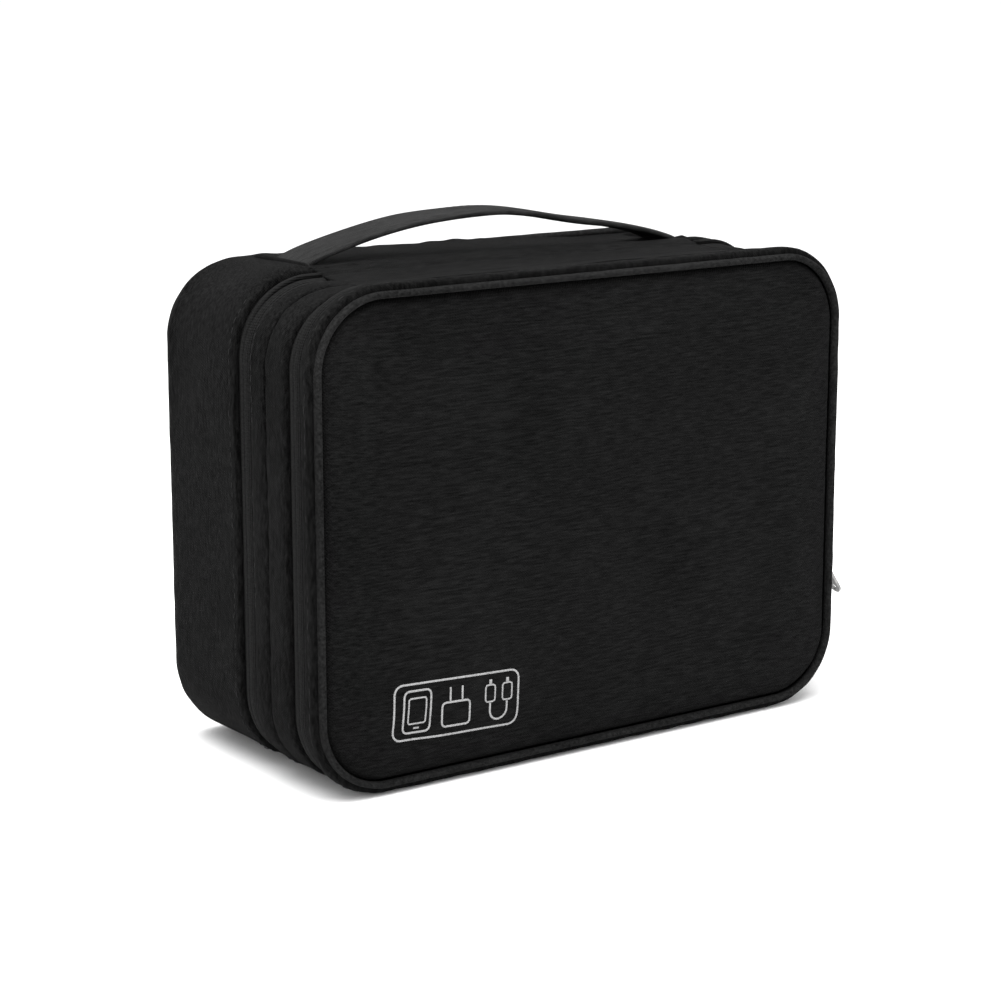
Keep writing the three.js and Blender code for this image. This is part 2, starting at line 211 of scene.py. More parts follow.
def loft(rings, closed=False):
    """Faces between rings of equal numbers of points; a row of rings that isn't closed gets caps."""
    rows, columns = len(rings), len(rings[0])
    faces = []
    for i in range(rows if closed else rows - 1):
        a, b = i * columns, (i + 1) % rows * columns
        for j in range(columns):
            k = (j + 1) % columns
            faces.append((a + j, a + k, b + k, b + j))
    if not closed:
        faces.append(tuple(range(columns)))
        faces.append(tuple((rows - 1) * columns + j for j in reversed(range(columns))))
    return np.concatenate(rings), faces


def join_parts(parts):
    """One set of points and faces from several."""
    points, faces = [], []
    first = 0
    for part_points, part_faces in parts:
        points.append(part_points)
        faces += [tuple(first + i for i in face) for face in part_faces]
        first += len(part_points)
    return np.concatenate(points), faces


def soft_profile(front, back, edge, crest, inner, power=5.0, count=15):
    """A closed loop of (y, outward) points: a crowned outer side and a flat inner one."""
    across = np.cos(np.linspace(math.pi, 0, count))
    rise = (1 - np.abs(across) ** power) ** (1 / power)
    y = (front + back) / 2 + across * (back - front) / 2
    outer = np.column_stack([y, edge + (crest - edge) * rise])
    return np.vstack([outer, [[back, inner], [front, inner]]])


def oval_profile(y, out, depth, rise):
    """A closed loop of (y, outward) points round an oval."""
    turn = full_turn(14)
    return np.column_stack([y + depth * np.cos(turn), out + rise * np.sin(turn)])


def band_points(profile, distance, relief):
    """The profile's points at each distance round the outline, as one array per distance."""
    rings = []
    for place, normal in zip(*outline(distance)):
        ring = np.column_stack([
            place[0] + normal[0] * profile[:, 1], profile[:, 0], place[1] + normal[1] * profile[:, 1]])
        lift = relief(ring, profile, place, normal)
        ring[:, 0] += normal[0] * lift
        ring[:, 2] += normal[1] * lift
        rings.append(ring)
    return rings


def add_band(name, profile, material, relief, body, nodes, start=0.0, end=None):
    """A strip swept round the outline, all the way or from one distance to another."""
    whole = end is None
    distance = steps(start, PERIMETER if whole else end, BAND_STEP)
    if whole:
        distance = distance[:-1]
    band = add_mesh(name, *loft(band_points(profile, distance, relief), closed=whole), material)
    return fit(band, body, nodes)


def cloth_relief(amount, pucker, drop=0.0):
    """Gentle waves over a band, finer puckers near its seams, and a lowered top."""
    def relief(ring, profile, place, normal):
        front, back = profile[:, 0].min(), profile[:, 0].max()
        edge = np.minimum(profile[:, 0] - front, back - profile[:, 0])
        outside = profile[:, 1] > profile[:, 1].min() + 0.4
        lift = amount * (0.6 * SOFT_WAVE(ring) + 0.4 * CLOTH_WAVE(ring)) * np.minimum(edge / 4, 1)
        lift += pucker * PUCKER_WAVE(ring) * np.exp(-edge / 2.5)
        return lift * outside - drop * max(normal[1], 0.0) ** 2
    return relief


# ---- stitching

STITCH_SHAPE = [(-0.5, 0.35, -0.9), (-0.3, 1.0, 0.0), (0.3, 1.0, 0.0), (0.5, 0.35, -0.9)]


def add_stitches(name, points, normals, length=2.6, pitch=3.6, radius=0.24, sunk=0.05):
    """A row of thread stitches along a line, each a short rounded capsule lying on the cloth.
    STITCH_SHAPE gives its sections: place along it, share of the radius, dip into the cloth."""
    travelled = travel(points)
    centres = np.arange(pitch / 2, travelled[-1] - pitch / 2, pitch)
    ahead, behind = [sample_line(points, travelled, centres + shift) for shift in (0.2, -0.2)]
    tangent = unit(ahead - behind)
    normal = unit(sample_line(normals, travelled, centres))
    side = np.cross(tangent, normal)
    turn = full_turn(6)[:, None]
    stitches = []
    for c, t, n, w in zip(sample_line(points, travelled, centres), tangent, normal, side):
        oval = radius * (np.cos(turn) * w + np.sin(turn) * n * 0.8)
        rings = [c + t * along * length + n * (radius * (0.4 + dip) - sunk) + size * oval
                 for along, size, dip in STITCH_SHAPE]
        stitches.append(loft(rings))
    return add_mesh(name, *join_parts(stitches), THREAD)


def stitch_band(name, y, out, body, relief, start=0.0, end=PERIMETER, **sizes):
    """Stitches that run round the outline at depth y, standing on the cloth at height out."""
    distance = steps(start, end, 2.0)
    rings = np.array(band_points(np.array([[y, out], [y, out - 1.0]]), distance, relief))
    thread = add_stitches(name, rings[:, 0], rings[:, 0] - rings[:, 1], **sizes)
    return fit(thread, body, [])


# ---- materials

def new_material(name):
    """A material with its node tree, its shader and the outputs of its texture coordinates."""
    material = bpy.data.materials.new(name)
    material.use_nodes = True
    tree = material.node_tree
    coordinates = tree.nodes.new("ShaderNodeTexCoord")
    return material, tree, tree.nodes["Principled BSDF"], coordinates.outputs


def math_node(tree, operation, a, b=None):
    node = tree.nodes.new("ShaderNodeMath")
    node.operation = operation
    for socket, value in zip(node.inputs, (a, b)):
        if isinstance(value, (int, float)):
            socket.default_value = value
        elif value is not None:
            tree.links.new(value, socket)
    return node.outputs[0]


def scaled(tree, value, factor):
    return math_node(tree, "MULTIPLY", value, factor)


def total(tree, *values):
    result = values[0]
    for value in values[1:]:
        result = math_node(tree, "ADD", result, value)
    return result


def wave_node(tree, value, wavelength):
    return math_node(tree, "SINE", scaled(tree, value, 2 * math.pi / (wavelength * MM)))


def noise_node(tree, coordinates, stretch, detail=3.0, roughness=0.55):
    """Noise whose blobs are about stretch millimetres long along X, Y and Z."""
    mapping = tree.nodes.new("ShaderNodeMapping")
    mapping.inputs["Scale"].default_value = [1 / (s * MM) for s in stretch]
    tree.links.new(coordinates["Object"], mapping.inputs["Vector"])
    noise = tree.nodes.new("ShaderNodeTexNoise")
    noise.inputs["Scale"].default_value = 1.0
    noise.inputs["Detail"].default_value = detail
    noise.inputs["Roughness"].default_value = roughness
    tree.links.new(mapping.outputs["Vector"], noise.inputs["Vector"])
    return noise.outputs["Fac"]


def grey(value, warm=0.0):
    return (value * (1 + warm), value, value * (1 - warm))


def add_colour(tree, shader, factor, stops):
    """Colours the shader by a factor, through a ramp of (place, colour) stops."""
    ramp = tree.nodes.new("ShaderNodeValToRGB")
    elements = ramp.color_ramp.elements
    while len(elements) < len(stops):
        elements.new(0.5)
    for element, (place, colour) in zip(elements, stops):
        element.position = place
        element.color = (*colour, 1)
    tree.links.new(factor, ramp.inputs["Fac"])
    tree.links.new(ramp.outputs["Color"], shader.inputs["Base Color"])


def add_bump(tree, shader, height, distance, strength=1.0):
    bump = tree.nodes.new("ShaderNodeBump")
    bump.inputs["Distance"].default_value = distance * MM
    bump.inputs["Strength"].default_value = strength
    tree.links.new(height, bump.inputs["Height"])
    tree.links.new(bump.outputs["Normal"], shader.inputs["Normal"])


def weave_height(tree, coordinates, pitch):
    """A plain weave's height: threads a pitch apart, over and under, on whichever pair of
    axes the surface faces."""
    place = tree.nodes.new("ShaderNodeSeparateXYZ")
    tree.links.new(coordinates["Object"], place.inputs[0])
    facing = tree.nodes.new("ShaderNodeSeparateXYZ")
    tree.links.new(coordinates["Normal"], facing.inputs[0])
    waves = [wave_node(tree, place.outputs[k], 2 * pitch) for k in range(3)]
    bumps = []
    for k in range(3):
        crossing = math_node(tree, "MULTIPLY", waves[(k + 1) % 3], waves[(k + 2) % 3])
        share = math_node(tree, "MULTIPLY", facing.outputs[k], facing.outputs[k])
        bumps.append(math_node(tree, "MULTIPLY", crossing, share))
    return total(tree, *bumps)


def fabric(name, dark, light, streak=(6.5, 0.8, 0.7), pitch=0.55, weave=0.05, roughness=0.92,
           sheen=0.012):
    """Heathered woven cloth: slub streaks in its colour, a plain weave in its bump."""
    material, tree, shader, coordinates = new_material(name)
    slubs = noise_node(tree, coordinates, streak, detail=4.0, roughness=0.62)
    speckle = noise_node(tree, coordinates, (0.7, 0.7, 0.7), detail=2.0)
    patches = noise_node(tree, coordinates, (38, 38, 38), detail=1.0)
    tone = total(tree, scaled(tree, slubs, 0.70), scaled(tree, speckle, 0.15), scaled(tree, patches, 0.15))
    middle = (dark + light) / 2.2
    add_colour(tree, shader, tone, [(0.34, grey(dark)), (0.50, grey(middle)), (0.66, grey(light))])
    threads = weave_height(tree, coordinates, pitch)
    height = total(tree, threads, scaled(tree, slubs, 1.6), scaled(tree, speckle, 1.2))
    add_bump(tree, shader, height, 3 * weave, strength=0.9)
    shader.inputs["Roughness"].default_value = roughness
    shader.inputs["Sheen Weight"].default_value = sheen
    shader.inputs["Sheen Roughness"].default_value = 0.45
    shader.inputs["Sheen Tint"].default_value = (0.6, 0.6, 0.62, 1)
    shader.inputs["Specular IOR Level"].default_value = 0.03
    return material


def webbing(name, dark, light, rib, axis, roughness=0.75):
    """Ribbed elastic or zipper tape: fine ribs along one axis over a soft speckle."""
    material, tree, shader, coordinates = new_material(name)
    place = tree.nodes.new("ShaderNodeSeparateXYZ")
    tree.links.new(coordinates["Object"], place.inputs[0])
    ribs = wave_node(tree, place.outputs[axis], rib)
    across = wave_node(tree, place.outputs[2], 0.9)
    speckle = noise_node(tree, coordinates, (0.9, 0.9, 0.9))
    tone = total(tree, scaled(tree, speckle, 0.8), scaled(tree, ribs, 0.1))
    add_colour(tree, shader, tone, [(0.2, grey(dark)), (0.7, grey(light))])
    add_bump(tree, shader, total(tree, ribs, scaled(tree, across, 0.6)), 0.12)
    shader.inputs["Roughness"].default_value = roughness
    shader.inputs["Specular IOR Level"].default_value = 0.05
    return material


def nylon(name, tone, roughness=0.4, shine=0.5):
    """Smooth plastic or thread with a faint mottle in its colour and its gloss."""
    material, tree, shader, coordinates = new_material(name)
    mottle = noise_node(tree, coordinates, (2.5, 2.5, 2.5))
    add_colour(tree, shader, mottle, [(0.3, grey(tone * 0.8)), (0.7, grey(tone * 1.25))])
    rough = total(tree, scaled(tree, mottle, 0.2), roughness - 0.1)
    tree.links.new(rough, shader.inputs["Roughness"])
    shader.inputs["Specular IOR Level"].default_value = shine
    return material


def zinc(name):
    """Cast zinc with a gunmetal finish, scuffed brighter in patches."""
    material, tree, shader, coordinates = new_material(name)
    scuffs = noise_node(tree, coordinates, (1.6, 1.6, 5.0), detail=5.0)
    add_colour(tree, shader, scuffs, [(0.35, grey(0.16)), (0.7, grey(0.34, 0.02))])
    rough = total(tree, scaled(tree, scuffs, 0.3), 0.2)
    tree.links.new(rough, shader.inputs["Roughness"])
    shader.inputs["Metallic"].default_value = 1.0
    add_bump(tree, shader, scuffs, 0.03)
    return material


def print_ink(name):
    """Screen-printed grey ink: matt, and worn darker in small spots."""
    material, tree, shader, coordinates = new_material(name)
    wear = noise_node(tree, coordinates, (0.8, 0.8, 0.5), detail=4.0)
    add_colour(tree, shader, wear, [(0.3, grey(0.14)), (0.5, grey(0.28)), (0.8, grey(0.36))])
    shader.inputs["Roughness"].default_value = 0.7
    return material


SHELL_CLOTH = fabric("shell_cloth", 0.0018, 0.0105)
WALL_CLOTH = fabric("wall_cloth", 0.0004, 0.0102, streak=(1.1, 1.1, 3.6), sheen=0.008)
STRAP_CLOTH = fabric("strap_cloth", 0.009, 0.034, streak=(6.0, 0.6, 6.0))
PIPING_CLOTH = fabric("piping_cloth", 0.004, 0.020, streak=(1.2, 1.2, 1.2), weave=0.04)
LINING_CLOTH = fabric("lining_cloth", 0.035, 0.060, streak=(2.0, 2.0, 2.0), pitch=0.4, weave=0.03,
                      roughness=0.65)
TAPE_CLOTH = webbing("tape_cloth", 0.004, 0.013, rib=0.8, axis=1)
ELASTIC = webbing("elastic_webbing", 0.006, 0.020, rib=1.6, axis=2)
NET = nylon("net_nylon", 0.022, roughness=0.6, shine=0.3)
COIL_NYLON = nylon("coil_nylon", 0.010)
THREAD = nylon("sewing_thread", 0.012, roughness=0.75, shine=0.08)
SLIDER_ZINC = zinc("slider_zinc")
INK = print_ink("badge_ink")


# ---- padded panels

EDGE_CROWDING = 0.55


def rounded_grid(half, low, high, radius, columns, rows):
    """(x, z) points of a grid whose edge follows a rounded rectangle, crowded at the edge."""
    def crowd(count):
        t = np.linspace(-1, 1, count)
        return (1 - EDGE_CROWDING) * t + EDGE_CROWDING * t * (1.5 - 0.5 * t * t)

    u, v = np.meshgrid(crowd(columns), crowd(rows))
    tall = (high - low) / 2
    scale = np.maximum(np.maximum(np.abs(u), np.abs(v)), 1e-9)
    edge_x, edge_z = np.abs(u / scale) * half, np.abs(v / scale) * tall
    on_side = np.abs(u) >= np.abs(v)
    past = np.where(on_side, edge_z - (tall - radius), edge_x - (half - radius)) / radius
    turn = np.clip(past, 0, 1) * math.pi / 4
    angle = np.where(on_side, turn, math.pi / 2 - turn)
    round_x = half - radius + radius * np.cos(angle)
    round_z = tall - radius + radius * np.sin(angle)
    x = np.where(past > 0, round_x, edge_x) * scale * np.sign(u)
    z = np.where(past > 0, round_z, edge_z) * scale * np.sign(v)
    return x, z + (low + high) / 2


def edge_distance(x, z, half, low, high, radius):
    """How far a point lies inside a rounded rectangle."""
    dx = np.abs(x) - (half - radius)
    dz = np.abs(z - (low + high) / 2) - ((high - low) / 2 - radius)
    outside = np.hypot(np.maximum(dx, 0), np.maximum(dz, 0))
    return radius - outside - np.minimum(np.maximum(dx, dz), 0)


def grid_faces(rows, columns, first=0, flip=False):
    faces = []
    for i in range(rows - 1):
        for j in range(columns - 1):
            a = first + i * columns + j
            quad = (a, a + 1, a + columns + 1, a + columns)
            faces.append(quad[::-1] if flip else quad)
    return faces


def grid_rim(rows, columns):
    """Indices of a grid's edge points, in order round it."""
    rim = list(range(columns))
    rim += [i * columns + columns - 1 for i in range(1, rows)]
    rim += [(rows - 1) * columns + j for j in range(columns - 2, -1, -1)]
    return rim + [i * columns for i in range(rows - 2, 0, -1)]


def close_sheets(front, back, rows, columns):
    """One closed body from two grids of the same size, joined round their edges."""
    count = rows * columns
    faces = grid_faces(rows, columns) + grid_faces(rows, columns, count, flip=True)
    rim = grid_rim(rows, columns)
    for a, b in zip(rim, rim[1:] + rim[:1]):
        faces.append((b, a, a + count, b + count))
    return np.vstack([front, back]), faces


def inflate(points, rows, columns, flip, pressure, cap, frames=16):
    """Blows a grid of cloth up by simulation, held at its rim, and returns where its points
    end, none moved further than cap. flip turns the side that it swells towards."""
    faces = grid_faces(rows, columns, flip=flip)
    piece = add_mesh("cloth_work", points, faces, SHELL_CLOTH, mend_normals=False)
    group = piece.vertex_groups.new(name="pinned")
    group.add(grid_rim(rows, columns), 1.0, "REPLACE")
    cloth = piece.modifiers.new("Cloth", "CLOTH")
    settings = cloth.settings
    settings.quality = 6
    settings.mass = 0.25
    settings.tension_stiffness = 40
    settings.compression_stiffness = 40
    settings.bending_stiffness = 4
    settings.use_pressure = True
    settings.uniform_pressure_force = pressure
    settings.effector_weights.gravity = 0
    settings.vertex_group_mass = "pinned"
    cloth.point_cache.frame_start, cloth.point_cache.frame_end = 1, frames
    scene = bpy.context.scene
    for number in range(1, frames + 1):
        scene.frame_set(number)
    graph = bpy.context.evaluated_depsgraph_get()
    blown = np.array([v.co for v in piece.evaluated_get(graph).data.vertices]) / MM
    scene.frame_set(1)
    bpy.data.objects.remove(piece)
    move = blown - points
    size = np.linalg.norm(move, axis=1)[:, None]
    return points + move * np.minimum(1, cap / np.maximum(size, 1e-9))


def panel_grid(inset, drop, columns, rows):
    """The (x, z) grid of a panel inset from the outline, and how deep in it each point lies."""
    rectangle = (WIDTH / 2 - inset, inset, HEIGHT - inset - drop, CORNER_RADIUS - inset)
    x, z = rounded_grid(*rectangle, columns, rows)
    return x.ravel(), z.ravel(), edge_distance(x, z, *rectangle).ravel()


def add_padded_panel(name, facing, seam_y, rise, back_y, inset, pressure, body, nodes):
    """A padded panel sewn in along its edge. facing is -1 for the front and 1 for the back."""
    columns, rows = 79, 61
    x, z, depth = panel_grid(inset, 0, columns, rows)
    roll = rise * (0.65 * (1 - np.exp(-depth / 1.4)) + 0.35 * (1 - np.exp(-depth / 9)))
    points = np.column_stack([x, seam_y + facing * roll, z])
    blown = inflate(points, rows, columns, facing > 0, pressure, cap=1.5)
    inner = np.minimum(depth / 10, 1)
    blown[:, 1] += facing * inner * (0.22 * SOFT_WAVE(blown) + 0.10 * CLOTH_WAVE(blown))
    blown[:, 1] += facing * 0.16 * PUCKER_WAVE(blown) * np.exp(-np.abs(depth - 3) / 2.5)
    back = blown.copy()
    back[:, 1] = back_y
    piece = add_mesh(name, *close_sheets(blown, back, rows, columns), SHELL_CLOTH)
    fit(piece, body, nodes)
    return piece


def add_flat_panel(name, node, inset, body, crown, drop=0.0):
    """A stiff covered board or a taut lining in a node's place, crowned on both faces."""
    columns, rows = 49, 39
    front_y, back_y = depth_span(node)
    x, z, depth = panel_grid(inset, drop, columns, rows)
    plane = np.column_stack([x, np.zeros(x.size), z])
    swell = crown * (1 - np.exp(-depth / 4))
    wave = 0.25 * crown * CLOTH_WAVE(plane) * np.minimum(depth / 6, 1)
    front, back = plane.copy(), plane.copy()
    front[:, 1] = front_y + crown - swell - wave
    back[:, 1] = back_y - crown + swell + wave
    piece = add_mesh(name, *close_sheets(front, back, rows, columns), LINING_CLOTH)
    return fit(piece, body, [node])


# ---- front lid

def make_lid():
    panel = add_padded_panel(
        "front_panel_cover", facing=-1, seam_y=PIPING_BACK + 0.9, rise=4.4,
        back_y=depth_span("front_panel")[1] + 2.6, inset=PANEL_INSET + 0.4, pressure=1.1,
        body="front_lid", nodes=["front_panel", "front_foam"])
    cord = oval_profile(PIPING_BACK - 0.7, out=-3.4, depth=2.1, rise=1.3)
    add_band("front_piping_cord", cord, PIPING_CLOTH, cloth_relief(0.12, 0.10), "front_lid",
             ["front_piping"])
    relief = cloth_relief(0.35, 0.22)
    gusset = soft_profile(LID_WALL_FRONT - 0.4, LID_WALL_BACK, edge=-VALLEY, crest=0.3, inner=-3.0, power=3.4)
    add_band("lid_gusset", gusset, WALL_CLOTH, relief, "front_lid", ["lid_side_wall"])
    stitch_band("lid_gusset_stitching", LID_WALL_FRONT + 1.7, 0.05, "front_lid", relief,
                length=3.2, pitch=4.8, radius=0.26)
    add_flat_panel("lid_lining", "front_lining", PANEL_INSET + 0.6, "front_lid", crown=0.3)
    return panel


# ---- badge

BADGE_LEFT = 30.8 - WIDTH / 2
BADGE_RIGHT = BADGE_LEFT + 54.0
BADGE_BOTTOM = 18.6
BADGE_TOP = BADGE_BOTTOM + 21.0
BADGE_TILT = math.radians(-2.3)  # the print is not quite level
INK_WIDTH = 0.8
INK_SECTION = [(-0.5, 0.35), (-0.46, -0.14), (-0.3, -0.22), (0.3, -0.22), (0.46, -0.14), (0.5, 0.35)]


def surface_y(panel, x, z):
    hit, place, _, _ = panel.ray_cast(Vector((x * MM, -0.2, z * MM)), Vector((0, 1, 0)))
    return place.y / MM if hit else depth_span("front_panel")[0]


def rounded_loop(x0, x1, z0, z1, radius, count=5):
    """Points round a rectangle with round corners."""
    corners = [(x1 - radius, z0 + radius, -90), (x1 - radius, z1 - radius, 0),
               (x0 + radius, z1 - radius, 90), (x0 + radius, z0 + radius, 180)]
    points = []
    for cx, cz, start in corners:
        for turn in np.radians(np.linspace(start, start + 90, count)):
            points.append((cx + radius * math.cos(turn), cz + radius * math.sin(turn)))
    return points


def dense(points, closed, step=0.9):
    """The same line with evenly spaced points."""
    points = np.array(points + points[:1] if closed else points, float)
    travelled = travel(points)
    count = max(3, int(travelled[-1] / step))
    line = sample_line(points, travelled, np.linspace(0, travelled[-1], count + 1))
    return line[:-1] if closed else line


def badge_line(panel, points, closed, width):
    """A raised line of ink on the panel. INK_SECTION gives (share of the width, depth) points."""
    line = dense(points, closed)
    ahead = np.roll(line, -1, axis=0) if closed else np.vstack([line[1:], line[-1:]])
    behind = np.roll(line, 1, axis=0) if closed else np.vstack([line[:1], line[:-1]])
    rings = []
    for (x, z), (tx, tz) in zip(line, unit(ahead - behind)):
        y = surface_y(panel, x, z)
        ring = [(x - tz * a * width, y + b, z + tx * a * width) for a, b in INK_SECTION]
        rings.append(np.array(ring))
    return loft(rings, closed=closed)


def tilted(points):
    """Points of the badge, turned by its tilt about its middle."""
    c, s = math.cos(BADGE_TILT), math.sin(BADGE_TILT)
    middle_x, middle_z = (BADGE_LEFT + BADGE_RIGHT) / 2, (BADGE_BOTTOM + BADGE_TOP) / 2
    return [(middle_x + c * (x - middle_x) - s * (z - middle_z),
             middle_z + s * (x - middle_x) + c * (z - middle_z)) for x, z in points]


def phone_lines(left):
    """Each pictogram is a list of lines: points, whether closed, and width."""
    return [
        (rounded_loop(left, left + 11.5, BADGE_BOTTOM + 2.6, BADGE_TOP - 2.6, 2.0), True, INK_WIDTH),
        (rounded_loop(left + 2, left + 9.5, BADGE_BOTTOM + 6, BADGE_TOP - 5.4, 0.7), True, INK_WIDTH * 0.8),
        ([(left + 4.6, BADGE_BOTTOM + 4.3), (left + 6.9, BADGE_BOTTOM + 4.3)], False, INK_WIDTH * 0.9),
    ]


def plug_lines(middle):
    body = rounded_loop(middle - 6, middle + 6, BADGE_BOTTOM + 3.2, BADGE_BOTTOM + 12.2, 1.4)
    lines = [(body, True, INK_WIDTH)]
    for x in (middle - 2.6, middle + 2.6):
        lines.append(([(x, BADGE_BOTTOM + 12.6), (x, BADGE_TOP - 3.2)], False, INK_WIDTH))
    return lines


def cable_lines(first, second):
    lines = []
    for x in (first, second):
        plug = rounded_loop(x - 2.1, x + 2.1, BADGE_TOP - 11.0, BADGE_TOP - 4.6, 0.9)
        lines.append((plug, True, INK_WIDTH * 0.8))
        lines.append(([(x, BADGE_TOP - 4.2), (x, BADGE_TOP - 2.6)], False, INK_WIDTH * 1.6))
    middle, reach = (first + second) / 2, (second - first) / 2
    loop = [(first, BADGE_TOP - 11.4)]
    for turn in np.radians(np.linspace(180, 360, 13)):
        loop.append((middle + reach * math.cos(turn), BADGE_BOTTOM + 6.6 + reach * math.sin(turn)))
    loop.append((second, BADGE_TOP - 11.4))
    lines.append((loop, False, INK_WIDTH))
    return lines


def make_badge(panel):
    """A printed frame with three plain pictograms: a phone, a plug and a looped cable."""
    frame_line = rounded_loop(BADGE_LEFT, BADGE_RIGHT, BADGE_BOTTOM, BADGE_TOP, 3.4)
    lines = [(frame_line, True, INK_WIDTH)]
    lines += phone_lines(BADGE_LEFT + 4)
    lines += plug_lines(BADGE_LEFT + 26.5)
    lines += cable_lines(BADGE_RIGHT - 12.5, BADGE_RIGHT - 5.0)
    parts = [badge_line(panel, tilted(points), closed, width) for points, closed, width in lines]
    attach(add_mesh("badge_print", *join_parts(parts), INK), "front_lid")


# ---- zippers

def swept_wire(path, normals, wire):
    """Rings of points round a wire along a path, with the outline's normals beside it."""
    tangent = unit(np.gradient(path, axis=0))
    up = np.column_stack([normals[:, 0], np.zeros(len(path)), normals[:, 1]])
    across = unit(np.cross(tangent, up))
    third = np.cross(across, tangent)
    turn = full_turn(4)[:, None]
    return [p + wire * (np.cos(turn) * a + np.sin(turn) * b) for p, a, b in zip(path, across, third)]


def coil_rings(centre, side, start, end, pitch=1.6, radius=0.95, out=-4.0, wire=0.28, per_turn=10):
    """A wire wound round the inner edge of a tape, following the outline."""
    turns = (end - start) / pitch
    share = np.linspace(0, 1, int(turns * per_turn) + 1)
    angle = 2 * math.pi * turns * share + (0 if side < 0 else math.pi)
    y = centre + side * 0.75 + side * -radius * np.cos(angle) * 1.15
    lift = out + radius * 0.75 * np.sin(angle)
    places, normals = outline(start + (end - start) * share)
    path = np.column_stack([places[:, 0] + normals[:, 0] * lift, y, places[:, 1] + normals[:, 1] * lift])
    return swept_wire(path, normals, wire)


def tape_profile(centre, edge, side):
    """A tape from its sewn edge up over the reversed coil and down in the middle fold."""
    fold = centre + side * 0.12
    share = np.linspace(0, 1, 9)
    hump = np.sin(np.clip((share - 0.2) / 0.8, 0, 1) * math.pi * 0.62) ** 0.9
    outer = np.column_stack([np.linspace(edge, fold, 9), 1.5 * hump - VALLEY - 0.6])
    lip = [(fold, -2.0), (fold + side * 0.1, -2.9), (fold + side * 0.9, -3.1), (edge, -3.1)]
    return np.vstack([outer, lip])


def make_zipper_half(zipper, tag, centre, edge, body, drop):
    """One tape of a zipper and the coil behind it. drop lowers it along the top."""
    side = 1 if edge > centre else -1
    start, end = SPINE_HALF, PERIMETER - SPINE_HALF
    add_band(f"{zipper}_tape_{tag}", tape_profile(centre, edge, side), TAPE_CLOTH,
             cloth_relief(0.18, 0.08, drop), body, [f"{zipper}_tape_{tag}"], start, end)
    rings = coil_rings(centre, side, start + 2, end - 2)
    coil = add_mesh(f"{zipper}_coil_{tag}", *loft(rings), COIL_NYLON)
    fit(coil, body, [f"{zipper}_coil_{tag}"])


# ---- middle tray

def make_tray():
    wall = soft_profile(TRAY_WALL_FRONT - 0.2, TRAY_WALL_BACK + 0.1, edge=-VALLEY - 0.3, crest=-0.2,
                        inner=-3.4, power=4.0)
    add_band("tray_wall_cover", wall, WALL_CLOTH, cloth_relief(0.55, 0.28, TRAY_DROP), "tray",
             ["tray_wall"])
    relief = cloth_relief(0.35, 0.25, TRAY_DROP)
    binding = soft_profile(BAND_FRONT - 0.1, BAND_BACK + 0.2, edge=-VALLEY, crest=0.0, inner=-3.2, power=3.6)
    add_band("tray_binding", binding, WALL_CLOTH, relief, "tray", ["tray_rear_band"])
    stitch_band("tray_binding_stitching", BAND_BACK - 1.9, -0.22, "tray", relief, pitch=3.8)
    board_inset = box_mm("tray_back_board")[0][2]
    board = add_flat_panel("tray_board_cover", "tray_back_board", board_inset, "tray", crown=0.6,
                           drop=TRAY_DROP)
    for level, loops in (("lower", 5), ("middle", 7), ("upper", 9)):
        make_loop_row(level, loops)


def make_loop_row(level, loops):
    """A strip of elastic webbing sewn down at intervals, so that it stands in shallow loops."""
    low, high = box_mm(f"tray_loop_row_{level}")
    x = np.linspace(low[0], high[0], loops * 16 + 1)
    share = np.mod((x - low[0]) / (high[0] - low[0]) * loops, 1.0)
    lift = 2.6 * np.sin(share * math.pi) ** 0.8
    z = [low[2], low[2] + 0.6, high[2] - 0.6, high[2]]
    rings = []
    for place, stand in zip(x, lift):
        y = high[1] - 0.5 - stand
        outer = [(place, y - thick, h) for h, thick in zip(z, (0.2, 0.7, 0.7, 0.2))]
        inner = [(place, y + 0.1, h) for h in z[::-1]]
        rings.append(np.array(outer + inner))
    strip = add_mesh(f"elastic_loops_{level}", *loft(rings), ELASTIC)
    fit(strip, "tray", [f"tray_loop_row_{level}"])


# ---- net pockets

NET_PITCH = 4.2  # between neighbouring threads, along the pocket's mouth
NET_THREAD = 0.28  # half the width of a thread
NET_FLATNESS = 0.4  # a thread's thickness over its width
NET_LEAN = (0.6, 0.8)  # a thread's heading, across and up
NET_BORDER = 2.2  # half the width of the woven border
NET_SHORTEST = 4.0  # corner threads shorter than this are left out
HEM_GATHERS = 23  # pleats along a pocket's mouth


def gathers(share):
    """The small pleats that the elastic hem draws a pocket's mouth into."""
    return 0.35 * np.sin(share * 2 * math.pi * HEM_GATHERS)


def pocket_bulge(u, v):
    """How far a pocket's cloth stands off its lining: a soft belly, gathered at the mouth."""
    belly = 1.5 * np.sin(u * math.pi) ** 0.7 * np.sin(np.clip(v, 0, 1) * math.pi * 0.8)
    return belly + gathers(u) * v ** 2


def net_strand(start, heading, width, height, place_of):
    """One diagonal thread of the net, clipped to the pocket, as rings of a flat section."""
    to_side = (width - start[0]) / heading[0] if heading[0] > 0 else start[0] / -heading[0]
    reach = min(to_side, (height - start[1]) / heading[1])
    if reach < NET_SHORTEST:
        return []
    along = np.linspace(0, reach, max(3, int(reach / 3.5)))
    middle = place_of(start[0] + heading[0] * along, start[1] + heading[1] * along)
    across = np.array([-heading[1], 0, heading[0]]) * NET_THREAD
    through = np.array([0, NET_THREAD, 0]) * NET_FLATNESS
    rings = [np.array([p + across, p + through, p - across, p - through]) for p in middle]
    return [loft(rings)]


